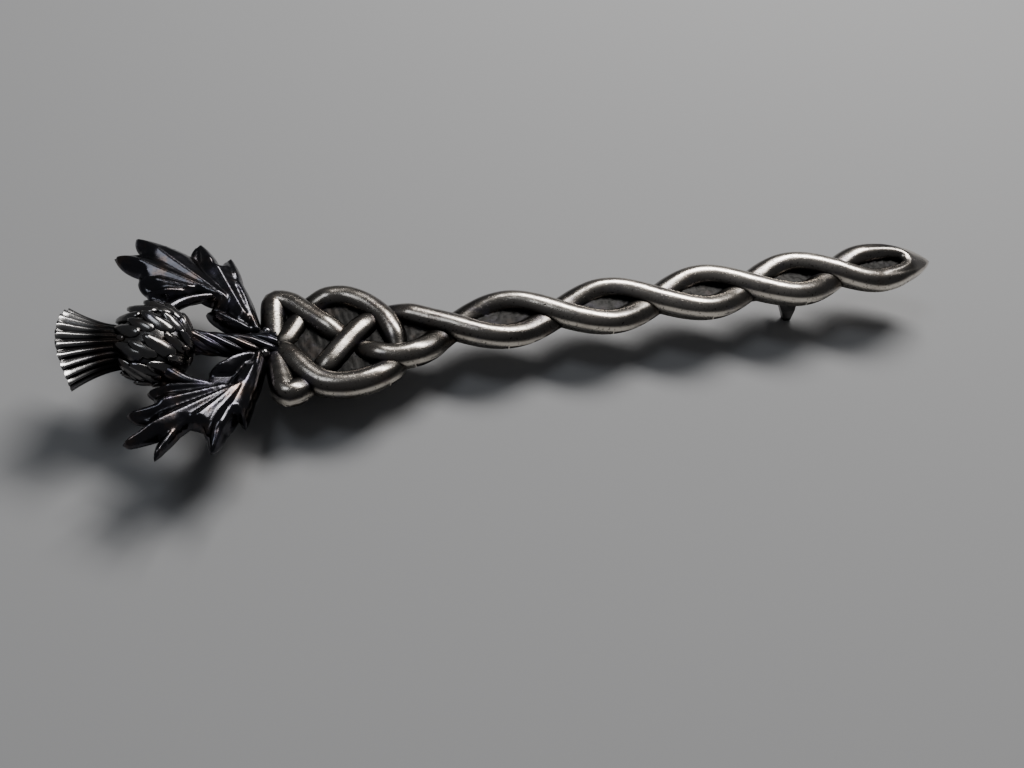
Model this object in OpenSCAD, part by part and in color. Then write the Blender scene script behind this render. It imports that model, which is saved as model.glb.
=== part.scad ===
// Kilt pin: a thistle with two leaves, an interlaced knot and a blade of
// two twisted strands, with a wire pin on the back.
// The head points to -X, the tip to +X, the back faces the ground at z = 0.

/* [Main lengths] */
// Thistle, from the tuft's end to the tie above the knot
head_l = 15.3; // [13:0.1:18]
// Knot, from the tie to the first crossing of the blade
knot_l = 14.9; // [13.5:0.1:17]
// Distance between neighbouring crossings along the blade
twist_pitch = 9.62; // [8.5:0.02:11]
// Crossings along the blade
crossings = 5; // [4:1:6]
// Pointed end loop, from the last crossing to the tip
tip_l = 11; // [9:0.1:13]

/* [Strands] */
// Width of one strand
strand_w = 2.2; // [1.8:0.1:2.5]
// Height of a strand's crown above the back, at the tie
strand_h = 1.5; // [1.4:0.05:1.8]
// How much more that height is at the tip
strand_gain = 0.5; // [0:0.05:0.7]
// Height of the upright side wall of a strand
wall_h = 0.55; // [0.4:0.05:0.7]
// How far a strand's crown drops where it passes under another
dip = 0.8; // [0.5:0.05:0.9]
// Thickness of the recessed floor between the strands
floor_t = 0.6; // [0.5:0.05:0.7]
// Width over both strands of the blade
blade_w = 5.7; // [5.2:0.1:6.4]
// Width over the corners of the knot
knot_w = 13; // [11.5:0.1:14]

/* [Bow of the back] */
// Height of the back above the ground at the tie
back_z = 3.45; // [3.3:0.05:3.8]
// How much higher the back is at the tip
tip_rise = 1.9; // [1:0.1:2.4]
// Rise of the head for each millimetre towards the tuft
head_slope = 0.16; // [0.05:0.01:0.2]

/* [Thistle] */
// Span over the tips of both leaves
leaf_span = 24; // [21:0.2:27]
// Thickness of the leaves at their edges
leaf_t = 0.5; // [0.4:0.1:1]
// Height of the leaf veins above the edges
vein_h = 0.8; // [0.5:0.1:1.2]
// Underside of the leaves above the line of the back
leaf_lift = 0.25; // [0.1:0.05:0.5]
// How much higher the leaf tips stand than the leaves' inner edges
leaf_curl = 0.8; // [0:0.1:1.2]
// Length of the scaly bulb
bulb_l = 5.6; // [5:0.1:7]
// Width of the scaly bulb
bulb_w = 7; // [6.4:0.1:8]
// Height of the scaly bulb
bulb_h = 4.2; // [3.6:0.1:5]
// Length of the tuft above the bulb
tuft_l = 4.3; // [3.4:0.1:5]
// Width of the tuft where it leaves the bulb
neck_w = 4.6; // [4:0.1:5.4]
// Width of the tuft at its end
tuft_w = 8; // [7:0.1:9]
// Height of the tuft at its end
tuft_h = 4; // [3.4:0.1:4.6]
// Ribs around the tuft
tuft_ribs = 28; // [20:2:36]
// How much higher the tuft's end stands than the bulb's middle
tuft_lift = 0.45; // [0:0.1:1]
// Thickness of the stem below the bulb
stalk_d = 2.1; // [1.7:0.1:2.6]

/* [Pin on the back] */
// Diameter of the wire
wire_d = 1.1; // [0.9:0.05:1.3]
// Clearance around the wire in the hinge and the catch
wire_gap = 0.1; // [0.05:0.01:0.2]
// Height of the wire's centre above the ground at the hinge
wire_z = 2.35; // [2.1:0.05:2.4]
// Distance from the back down to the wire's centre at the catch
wire_drop = 1.1; // [0.9:0.05:1.5]
// Distance from the tie to the middle of the hinge
hinge_at = 3.4; // [2.8:0.1:6]
// Length of the hinge block
hinge_l = 4.2; // [3.4:0.1:5]
// Width of the hinge block
hinge_w = 5; // [4.4:0.1:6]
// Distance from the hinge to the middle of the catch
catch_at = 44.2; // [40:0.2:46]
// Length of the catch at its root
catch_l = 2.6; // [2.2:0.1:3.2]
// How far the catch leans towards the tip down to its foot
catch_lean = 2.2; // [1:0.1:2.6]
// Thickness of the catch's strip
catch_t = 0.7; // [0.5:0.1:0.8]

/* [Hidden] */

blade_l = (crossings - 1) * twist_pitch;
overall_l = head_l + knot_l + blade_l + tip_l;
tie_x = head_l - overall_l / 2;
cross_x = tie_x + knot_l;
loop_x = cross_x + blade_l;
tip_x = loop_x + tip_l;
swing = (blade_w - strand_w) / 2;
station = 1.2;
knot_y = (knot_w - strand_w) / 2;
span_y = leaf_span / 2;

// Height of the back above the ground, along the bow and under the head
function back_at(x) = x > tie_x
    ? back_z + tip_rise * pow((x - tie_x) / (tip_x - tie_x), 2)
    : back_z + head_slope * (tie_x - x);

// Points of a smooth curve through the rows of a table
function blend(a, b, c, d, t) = 0.5 * (2 * b + (c - a) * t
    + (2 * a - 5 * b + 4 * c - d) * t * t + (3 * b - a - 3 * c + d) * t * t * t);
function row(rows, i) = rows[max(0, min(len(rows) - 1, i))];
function smooth(rows, cuts) = [
    for (i = [0 : len(rows) - 2], k = [0 : cuts - 1])
        blend(row(rows, i - 1), rows[i], rows[i + 1], row(rows, i + 2), k / cuts),
    rows[len(rows) - 1]];

// One solid from a list of rings with the same number of points
module skin(rings) {
    n = len(rings[0]);
    m = len(rings);
    polyhedron(
        points = [for (r = rings, p = r) p],
        faces = concat(
            [[for (j = [0 : n - 1]) n - 1 - j]],
            [for (i = [0 : m - 2], j = [0 : n - 1])
                [i * n + j, i * n + (j + 1) % n, (i + 1) * n + (j + 1) % n]],
            [for (i = [0 : m - 2], j = [0 : n - 1])
                [i * n + j, (i + 1) * n + (j + 1) % n, (i + 1) * n + j]],
            [[for (j = [0 : n - 1]) (m - 1) * n + j]]));
}

// Half section of a strand: share of the half width, share of the crown
DOME = [[1, 0], [0.84, 0.52], [0.46, 0.9], [0, 1]];

// Section of a strand at p = [x, y, level, width], across a heading
function loaf(p, turn) = let (
        base = back_at(p[0]),
        gain = strand_gain * max(0, p[0] - tie_x) / (tip_x - tie_x),
        crown = strand_h + gain - dip * (1 - p[2]),
        low = min(wall_h, crown - 0.4),
        half = [for (d = DOME) [d[0] * p[3] / 2, low + d[1] * (crown - low)]],
        top = concat(half, [for (i = [2 : -1 : 0]) [-half[i][0], half[i][1]]]),
        flat = concat([[p[3] / 2, -back_cut]], top, [[-p[3] / 2, -back_cut]]))
    [for (q = flat)
        [p[0] + q[0] * sin(turn), p[1] - q[0] * cos(turn), base + q[1]]];
back_cut = 0.6;

function heading(pts, i) = let (
        a = pts[max(0, i - 1)],
        b = pts[min(len(pts) - 1, i + 1)])
    atan2(b[1] - a[1], b[0] - a[0]);

module strand(pts)
    skin([for (i = [0 : len(pts) - 1]) loaf(pts[i], heading(pts, i))]);

// Path of one blade strand: hand 1 passes over at the first crossing, and each
// strand goes over and under in turn up to the end loop
twist_n = ceil(blade_l / station);
loop_run = tip_l - strand_w * 0.75;
loop_n = ceil(loop_run / station);
// Narrowing of the strands towards the tip
tip_taper = 0.7;
// Length of the solid point beyond the eye of the end loop
point_l = 2.8;
function twist_y(s, hand) = -hand * swing * sin(180 * s);
function twist_level(s, hand) = 1 - pow((1 - hand * cos(180 * s)) / 2, 2);
function twist_path(hand) = concat(
    [for (k = [1 : twist_n]) let (s = (crossings - 1) * k / twist_n)
        [cross_x + s * twist_pitch, twist_y(s, hand), twist_level(s, hand), strand_w]],
    [for (k = [1 : loop_n]) let (t = k / loop_n, s = crossings - 1 + pow(t, 0.92))
        [loop_x + t * loop_run, twist_y(s, hand),
         t > 0.5 ? 1 : max(t * 2, twist_level(s, hand)), strand_w - tip_taper * t * t]]);

// Knot strands, each a table: share of the knot's length from the tie, share
// of its half width, crown level (1 passes over, 0 passes under)
UPRIGHT = [[0.00, 0.06, 0.5], [0.02, 0.50, 0.6], [0.05, 0.96, 0.9]];
HAIRPIN = [
    [0.06, 0.96, 0.9], [0.13, 0.86, 1.0], [0.21, 0.59, 1.0], [0.31, 0.29, 1.0], [0.40, -0.04, 0.0],
    [0.46, -0.26, 0.4], [0.53, -0.44, 1.0], [0.64, -0.53, 1.0],
    [0.75, -0.48, 1.0], [0.84, -0.36, 0.6], [0.92, -0.18, 0.1], [1.00, 0.00, 0.0]];
BAND = [
    [0.06, -0.96, 0.9], [0.11, -0.88, 0.6], [0.17, -0.73, 0.0], [0.28, -0.48, 0.8], [0.40, -0.10, 1.0],
    [0.51, 0.20, 0.8], [0.59, 0.38, 0.0], [0.68, 0.42, 0.4], [0.79, 0.30, 1.0],
    [0.89, 0.16, 1.0], [1.00, 0.00, 1.0]];
RING_FAR = [
    [0.03, 0.07, 0.5], [0.08, 0.13, 0.6], [0.14, 0.27, 0.6], [0.20, 0.55, 0.0],
    [0.26, 0.80, 0.6], [0.35, 0.92, 1.0], [0.44, 0.88, 1.0], [0.52, 0.74, 1.0],
    [0.59, 0.52, 1.0], [0.65, 0.26, 1.0], [0.68, -0.04, 0.9], [0.67, -0.28, 0.4],
    [0.64, -0.50, 0.0]];
RING_NEAR = [
    [0.64, -0.50, 0.0], [0.59, -0.69, 0.5], [0.52, -0.83, 0.9], [0.44, -0.91, 1.0],
    [0.34, -0.93, 1.0], [0.24, -0.85, 1.0], [0.17, -0.68, 1.0], [0.12, -0.45, 1.0],
    [0.07, -0.20, 0.8], [0.03, -0.07, 0.5]];
function knot_path(rows) = [for (r = smooth(rows, 2))
    [tie_x + r[0] * knot_l, r[1] * knot_y, max(0, min(1, r[2])), strand_w]];

// Rounded corner where the end of an upright turns into another strand
module corner(p) hull() skin([for (turn = [0 : 30 : 180]) loaf(p, turn)]);

// Recessed floor of the knot: share of its length, share of its half width
KNOT_FLOOR = [[0.01, 0.3], [0.03, 0.85], [0.06, 0.9], [0.35, 0.85], [0.55, 0.6], [0.7, 0.4],
    [0.9, 0.3], [1, 0.2]];
module floor_plate() {
    outline = concat(
        [for (r = KNOT_FLOOR) [tie_x + r[0] * knot_l, r[1] * knot_y]],
        [for (s = [0.125 : 0.125 : crossings - 1])
            [cross_x + s * twist_pitch, max(0.4, swing * abs(sin(180 * s)))]],
        [for (t = [0.15 : 0.15 : 0.8])
            [loop_x + t * tip_l, swing * sin(180 * t)]]);
    skin([for (p = outline) let (z = back_at(p[0])) [
        [p[0], -p[1], z - back_cut], [p[0], -p[1], z + floor_t],
        [p[0], p[1], z + floor_t], [p[0], p[1], z - back_cut]]]);
}

// Everything under the bowed back of the knot and the blade
below_from = tie_x - 2;
module below_back() {
    half = span_y + 1;
    skin([for (x = [below_from : 2 * station : tip_x + 2 * station]) [
        [x, -half, -back_z], [x, -half, back_at(x)],
        [x, half, back_at(x)], [x, half, -back_z]]]);
}

module strands() {
    for (side = [-1, 1]) {
        upright = knot_path([for (r = UPRIGHT) [r[0], side * r[1], r[2]]]);
        strand(upright);
        corner(upright[len(upright) - 1]);
    }
    strand(concat(knot_path(BAND), twist_path(1)));
    strand(concat(knot_path(HAIRPIN), twist_path(-1)));
    strand(knot_path(RING_FAR));
    strand(knot_path(RING_NEAR));
    tip_z = back_at(tip_x);
    base_x = tip_x - point_l;
    base_w = 1.35 * strand_w;
    hull() {
        translate([base_x, -base_w / 2, tip_z - back_cut])
            cube([0.2, base_w, back_cut + wall_h]);
        translate([base_x, -base_w / 5, tip_z])
            cube([0.2, base_w * 0.4, 0.95 * (strand_h + strand_gain)]);
        translate([tip_x - 0.1, -0.05, tip_z - back_cut]) cube([0.1, 0.1, back_cut + wall_h]);
    }
}

// A leaf's lobes: root and tip, each as a share of the head's length from
// the tie and of the half span, then half the lobe's width
LOBES = [
    [0.06, 0.11, 0.17, 0.79, 0.75], [0.13, 0.24, 0.31, 0.94, 1.15],
    [0.22, 0.40, 0.645, 0.99, 1.35], [0.24, 0.42, 0.755, 0.83, 1.3],
    [0.25, 0.42, 0.65, 0.59, 0.9], [0.26, 0.40, 0.58, 0.40, 0.6],
    [0.12, 0.10, 0.32, 0.31, 0.85]];
// The web that joins the lobes: corners as shares like those of the lobes
WEBS = [
    [[0.02, 0.02], [0.10, 0.42], [0.20, 0.56], [0.26, 0.30], [0.20, 0.10]],
    [[0.14, 0.40], [0.22, 0.69], [0.38, 0.76], [0.44, 0.60], [0.24, 0.36]],
    [[0.22, 0.40], [0.40, 0.78], [0.62, 0.70], [0.60, 0.52], [0.30, 0.38]]];

function leaf_z(x, y) = back_at(x) + leaf_lift + leaf_curl * pow(y / span_y, 2);

// A thin upright post from the leaf's underside up to a height above it
module post(x, y, h, r = 0.15)
    translate([x, y, leaf_z(x, y)]) cylinder(h = h, r = r, $fn = 6);

module lobe(l) {
    x0 = tie_x - l[0] * head_l;
    y0 = l[1] * span_y;
    x1 = tie_x - l[2] * head_l;
    y1 = l[3] * span_y;
    a = atan2(y1 - y0, x1 - x0);
    for (side = [-1, 1])
        hull() {
            post(x0, y0, leaf_t + vein_h);
            post(x0 + 0.75 * (x1 - x0), y0 + 0.75 * (y1 - y0), leaf_t + vein_h);
            post(x1, y1, leaf_t);
            post(x0 + 0.6 * (x1 - x0) + side * l[4] * sin(a),
                 y0 + 0.6 * (y1 - y0) - side * l[4] * cos(a), leaf_t);
            post(x0 + side * 0.6 * l[4] * sin(a),
                 y0 - side * 0.6 * l[4] * cos(a), leaf_t);
        }
}

module leaf() {
    for (l = LOBES) lobe(l);
    for (w = WEBS)
        hull() for (p = w) post(tie_x - p[0] * head_l, p[1] * span_y, leaf_t);
}

bulb_x = tie_x - head_l + tuft_l + bulb_l / 2 - 0.6;
// How far the bulb reaches down past the line of the back
bulb_sink = 1.15;
bulb_z = back_at(bulb_x) + bulb_h / 2 - bulb_sink;

module bulb() {
    translate([bulb_x, 0, bulb_z]) {
        scale([bulb_l, bulb_w, bulb_h]) sphere(d = 1, $fn = 28);
        for (i = [0 : scale_rows - 1], j = [0 : scales_each - 1]) {
            lat = -50 + 100 * i / (scale_rows - 1);
            lon = 15 + 150 * (j + (i % 2) / 2) / scales_each;
            hull() for (d = [0, scale_turn])
                translate([
                    -bulb_l / 2 * sin(lat + d), bulb_w / 2 * cos(lat + d) * cos(lon),
                    bulb_h / 2 * cos(lat + d) * sin(lon)])
                    sphere(r = 0.5 - d / 60, $fn = 6);
        }
    }
}
// Rows of scales, scales in a row, and the angle over which one scale runs
scale_rows = 5;
scales_each = 6;
scale_turn = 9;

// Rings of the tuft: share of its length, share of its flare
TUFT = [[0, 0], [0.3, 0.12], [0.6, 0.42], [0.85, 0.8], [1, 1]];
// How far the middle of the tuft's end stands out beyond its corners
tuft_bulge = 0.4;
module tuft() {
    x0 = tie_x - head_l + tuft_l;
    neck_h = neck_w * 0.7;
    around = [for (k = [0 : 2 * tuft_ribs - 1]) k * 180 / tuft_ribs];
    skin(concat(
        [for (t = TUFT) [for (k = [0 : 2 * tuft_ribs - 1]) let (
                a = around[k],
                r = 0.5 - 0.03 * (k % 2),
                w = neck_w + (tuft_w - neck_w) * t[1],
                h = neck_h + (tuft_h - neck_h) * t[1])
            [x0 - t[0] * (tuft_l - tuft_bulge * pow(cos(a), 2)),
             w * r * cos(a), bulb_z + tuft_lift * t[0] + h * r * sin(a)]]],
        [[for (a = around)
            [x0 - tuft_l + 0.1, cos(a), bulb_z + tuft_lift + 0.6 * sin(a)]]]));
}

module stalk() {
    from = [bulb_x + bulb_l / 2 - 0.6, 0, bulb_z];
    to = [tie_x + 0.4, 0, back_at(tie_x) + strand_h * 0.55];
    cuts = 5;
    for (k = [0 : cuts - 1])
        hull() for (t = [k, k + 1])
            translate(from + (to - from) * t / cuts + [0, 0, -0.4 * sin(180 * t / cuts)])
                sphere(d = stalk_d, $fn = 14);
}

// Small beads that bind the head to the knot
module tie()
    for (s = [-1, 0, 1])
        hull() for (d = [-0.3, 0.3])
            translate([tie_x - 0.5 + d, s * 0.85 + d, back_at(tie_x) + strand_h - 0.5])
                sphere(d = 1, $fn = 10);

module head() {
    leaf();
    mirror([0, 1, 0]) leaf();
    bulb();
    tuft();
    stalk();
    tie();
}

hinge_x = tie_x + hinge_at;
catch_x = hinge_x + catch_at;
wire_end_z = back_at(catch_x) - wire_drop;
wire_tilt = atan2(wire_end_z - wire_z, catch_at);
socket_r = wire_d / 2 + wire_gap;

module hinge_block() {
    difference() {
        translate([hinge_x - hinge_l / 2, -hinge_w / 2, 0])
            cube([hinge_l, hinge_w, back_at(hinge_x) + floor_t / 2]);
        translate([hinge_x, -socket_r, -1]) cube([hinge_l, 2 * socket_r, wire_z + socket_r + 1]);
    }
}

// A fin that leans towards the tip and tapers to its foot on the ground, with
// a lip that turns under the wire
module catch() {
    out = socket_r + catch_t;
    top = back_at(catch_x) + floor_t / 2;
    reach = catch_l + catch_lean;
    intersection() {
        translate([catch_x - reach, 0, 0]) rotate([90, 0, 90])
            linear_extrude(2 * reach) difference() {
                union() {
                    polygon([[-out, top], [-out, wire_end_z - out], [-out + foot_in, 0],
                        [-socket_r + foot_in, 0], [-socket_r, wire_end_z], [-socket_r, top]]);
                    translate([-out, wire_end_z - out]) square([2 * out, out]);
                }
                translate([0, wire_end_z]) circle(r = socket_r, $fn = 32);
                translate([-socket_r, wire_end_z]) square([2 * out, top]);
            }
        translate([catch_x, reach, 0]) rotate([90, 0, 0])
            linear_extrude(2 * reach) polygon([[-catch_l / 2, top], [catch_l / 2, top],
                [catch_lean + foot_l / 2, 0], [catch_lean - foot_l / 2, 0]]);
    }
}
// Lean of the fin towards the middle at its foot, and length of the foot
foot_in = 0.5;
foot_l = 0.8;

module casting()
    color("dimgray") {
        difference() {
            union() {
                strands();
                floor_plate();
            }
            below_back();
        }
        head();
        hinge_block();
        catch();
    }

// Length of the wire's sharpened end
wire_point = 2.4;
module pin_stem()
    color("gray")
        translate([hinge_x + wire_gap, 0, wire_z]) rotate([0, 90 - wire_tilt, 0]) {
            cylinder(d = wire_d, h = catch_at + 0.5, $fn = 32);
            translate([0, 0, catch_at + 0.5])
                cylinder(d1 = wire_d, d2 = 0.1, h = wire_point, $fn = 32);
        }

casting();
pin_stem();
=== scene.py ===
import math

import bmesh
import bpy
import numpy as np
from mathutils import Matrix, Vector, geometry


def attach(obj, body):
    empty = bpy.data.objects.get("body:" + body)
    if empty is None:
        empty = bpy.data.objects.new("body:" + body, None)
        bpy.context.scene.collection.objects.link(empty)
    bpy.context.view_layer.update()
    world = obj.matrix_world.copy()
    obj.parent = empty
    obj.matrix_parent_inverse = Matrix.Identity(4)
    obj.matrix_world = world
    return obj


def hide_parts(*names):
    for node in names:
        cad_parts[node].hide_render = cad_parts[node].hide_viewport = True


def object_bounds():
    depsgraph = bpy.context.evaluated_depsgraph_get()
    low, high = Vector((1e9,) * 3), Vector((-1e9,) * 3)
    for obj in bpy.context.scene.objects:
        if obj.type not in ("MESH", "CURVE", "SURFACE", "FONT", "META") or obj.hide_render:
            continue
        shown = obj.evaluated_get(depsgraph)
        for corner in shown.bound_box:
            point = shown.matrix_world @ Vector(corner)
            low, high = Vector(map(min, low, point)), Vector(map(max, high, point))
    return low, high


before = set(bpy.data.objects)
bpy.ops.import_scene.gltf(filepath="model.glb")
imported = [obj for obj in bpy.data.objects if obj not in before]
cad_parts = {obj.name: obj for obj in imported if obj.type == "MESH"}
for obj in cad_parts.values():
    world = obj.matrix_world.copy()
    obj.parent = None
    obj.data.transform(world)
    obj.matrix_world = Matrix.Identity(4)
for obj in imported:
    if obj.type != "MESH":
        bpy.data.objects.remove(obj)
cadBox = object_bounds()
mm = 0.001
print("frame loaded")

# Main sizes in millimetres, the same named sizes as the cast solid's
pin = dict(headLength=15.3, knotLength=14.9, twistPitch=9.62, crossings=5,
           backHeight=3.45, tipRise=1.9, headSlope=0.16, strandWidth=2.2,
           strandHeight=1.5, strandGain=0.5, dip=0.8, floorHeight=0.6,
           bladeWidth=5.7, knotWidth=13, leafSpan=24, tuftLength=4.3)
tipX = cadBox[1].x / mm
tieX = cadBox[0].x / mm + pin["headLength"]
crossX = tieX + pin["knotLength"]
loopX = crossX + (pin["crossings"] - 1) * pin["twistPitch"]
knotHalf = (pin["knotWidth"] - pin["strandWidth"]) / 2


def backAt(x):  # height of the flat back above the ground
    x = np.asarray(x, float)
    share = np.maximum(0, x - tieX) / (tipX - tieX)
    return pin["backHeight"] + pin["tipRise"] * share ** 2 + pin["headSlope"] * np.maximum(0, tieX - x)


def crownAt(x, level):  # height of a strand's crown, level 1 over and 0 under
    share = np.maximum(0, np.asarray(x, float) - tieX) / (tipX - tieX)
    return backAt(x) + pin["strandHeight"] + pin["strandGain"] * share - pin["dip"] * (1 - level)


# Sums of sockets, and nodes by type, settings and inputs
class Term:
    def __init__(self, bench, socket):
        self.bench = bench
        self.socket = socket

    def work(self, operation, *others):
        return self.bench.number(operation, self, *others)

    def __add__(self, other):
        return self.work("ADD", other)

    def __sub__(self, other):
        return self.work("SUBTRACT", other)

    def __rsub__(self, other):
        return self.bench.number("SUBTRACT", other, self)

    def __mul__(self, other):
        return self.work("MULTIPLY", other)

    def __truediv__(self, other):
        return self.work("DIVIDE", other)

    def __rtruediv__(self, other):
        return self.bench.number("DIVIDE", other, self)

    def __pow__(self, other):
        return self.work("POWER", other)

    def __neg__(self):
        return self.work("MULTIPLY", -1)

    __radd__ = __add__
    __rmul__ = __mul__

    def sin(self):
        return self.work("SINE")

    def cos(self):
        return self.work("COSINE")

    def abs(self):
        return self.work("ABSOLUTE")

    def floor(self):
        return self.work("FLOOR")

    def sign(self):
        return self.work("SIGN")

    def atLeast(self, other):
        return self.work("MAXIMUM", other)

    def atMost(self, other):
        return self.work("MINIMUM", other)

    def ramp(self, low, high):  # 0 below low, 1 above high, smooth between
        return self.bench.node("ShaderNodeMapRange", {"interpolation_type": "SMOOTHSTEP"},
                               {"Value": self, "From Min": low, "From Max": high})


class Bench:
    def __init__(self, tree):
        self.tree = tree

    def node(self, kind, settings={}, inputs={}, out=0):
        made = self.tree.nodes.new(kind)
        for name, value in settings.items():
            setattr(made, name, value)
        for name, value in inputs.items():
            if isinstance(value, Term):
                self.tree.links.new(value.socket, made.inputs[name])
            else:
                made.inputs[name].default_value = value
        return Term(self, made.outputs[out])

    def number(self, operation, *values):
        return self.node("ShaderNodeMath", {"operation": operation}, dict(enumerate(values)))

    def point(self, x, y, z):
        return self.node("ShaderNodeCombineXYZ", {}, {"X": x, "Y": y, "Z": z})

    def split(self, vector):
        made = self.tree.nodes.new("ShaderNodeSeparateXYZ")
        self.tree.links.new(vector.socket, made.inputs[0])
        return [Term(self, out) for out in made.outputs]

    def vector(self, operation, *values):
        return self.node("ShaderNodeVectorMath", {"operation": operation}, dict(enumerate(values)))


def formTree(name, sizes):  # a Geometry Nodes tree with a geometry, a material and sizes as inputs
    tree = bpy.data.node_groups.new(name, "GeometryNodeTree")
    face = tree.interface
    face.new_socket("Geometry", in_out="OUTPUT", socket_type="NodeSocketGeometry")
    face.new_socket("Geometry", in_out="INPUT", socket_type="NodeSocketGeometry")
    face.new_socket("Material", in_out="INPUT", socket_type="NodeSocketMaterial")
    for size in sizes:
        face.new_socket(size, in_out="INPUT", socket_type="NodeSocketFloat")
    start = tree.nodes.new("NodeGroupInput")
    bench = Bench(tree)
    return bench, {s.name: Term(bench, s) for s in start.outputs if s.name}


def closeTree(bench, shape, material):  # plain, smooth and in its material
    shape = bench.node("GeometryNodeRealizeInstances", {}, {0: shape})
    shape = bench.node("GeometryNodeSetShadeSmooth", {}, {"Geometry": shape})
    shape = bench.node("GeometryNodeSetMaterial", {}, {"Geometry": shape, "Material": material})
    end = bench.tree.nodes.new("NodeGroupOutput")
    bench.tree.links.new(shape.socket, end.inputs[0])


def grow(seed, bench, material, sizes):  # runs the tree on an object and gives back a plain mesh
    modifier = seed.modifiers.new("form", "NODES")
    modifier.node_group = bench.tree
    for item in bench.tree.interface.items_tree:
        if item.in_out != "INPUT" or item.name == "Geometry":
            continue
        modifier[item.identifier] = material if item.name == "Material" else float(sizes[item.name])
    bpy.context.view_layer.update()
    mesh = bpy.data.meshes.new_from_object(seed.evaluated_get(bpy.context.evaluated_depsgraph_get()))
    seed.modifiers.remove(modifier)
    bpy.data.objects.remove(seed)
    return mesh


def placed(name, data):  # an object in the scene
    made = bpy.data.objects.new(name, data)
    bpy.context.scene.collection.objects.link(made)
    return made


def emptySeed():
    return placed("seed", bpy.data.meshes.new("seed"))


def joined(*meshes):  # one mesh or several as one, faces turned outwards
    whole = bmesh.new()
    for mesh in meshes:
        whole.from_mesh(mesh)
    bmesh.ops.remove_doubles(whole, verts=whole.verts, dist=1e-7)
    bmesh.ops.recalc_face_normals(whole, faces=whole.faces)
    if whole.calc_volume(signed=True) < 0:  # a long bent strand can come out inside out
        bmesh.ops.reverse_faces(whole, faces=whole.faces)
    mesh = bpy.data.meshes.new("joined")
    whole.to_mesh(mesh)
    whole.free()
    return mesh


def plainMesh(points, faces, smooth=True):  # points in millimetres
    mesh = bpy.data.meshes.new("plain")
    mesh.from_pydata([tuple(float(v) * mm for v in p) for p in points], [], faces)
    for polygon in mesh.polygons:
        polygon.use_smooth = smooth
    mesh.update()
    return mesh


def piece(name, mesh, material):
    mesh.name = name
    mesh.materials.clear()
    mesh.materials.append(material)
    made = placed(name, mesh)
    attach(made, "root")
    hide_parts("casting")
    return made


# The blade's two strands, the eye at their end and the point beyond it
blade = dict(strandWidth=1.78, underGain=1.07, overGain=0.52, loopGain=0.6, tuck=0.15, bow=0.12,
             steps=400, loopSteps=60, eyeShare=0.5, squareness=2.3, pointLength=2.9, pointWidth=2.3,
             endWidth=1.55, endSplit=0.12, overhang=0.25, loopLevel=0.45, endLevel=0.3)
swing = (pin["bladeWidth"] - blade["strandWidth"]) / 2 + blade["bow"]
loopSwing = swing - blade["loopGain"] / 2
loopWidth = blade["strandWidth"] + blade["loopGain"]
eyeX = tipX - blade["pointLength"]  # where the two strands meet round the eye
eyeLength = blade["eyeShare"] * (eyeX - loopX)

# Finishes, with painted shade in hollows and a painted floor reflection on walls
silver = dict(recess=(0.005, 0.005, 0.0055), brown=(0.15, 0.10, 0.075), violet=(0.13, 0.12, 0.17),
              wallSheenTone=(0.86, 0.80, 0.70), wallSheenShare=0.8, brownSize=2.1, brownEdge=(0.5, 0.72),
              violetSize=1.7, violetEdge=(0.52, 0.74), pitSize=0.2, pitEdge=(0.58, 0.72),
              scratchSize=2.2, scratchStretch=(0.35, 3.4, 3.4), scratchShare=0.24, hollowRough=0.2,
              grainSize=0.16, dentSize=0.6, relief=0.012, bump=0.6, skirtShare=0.7)
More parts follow.
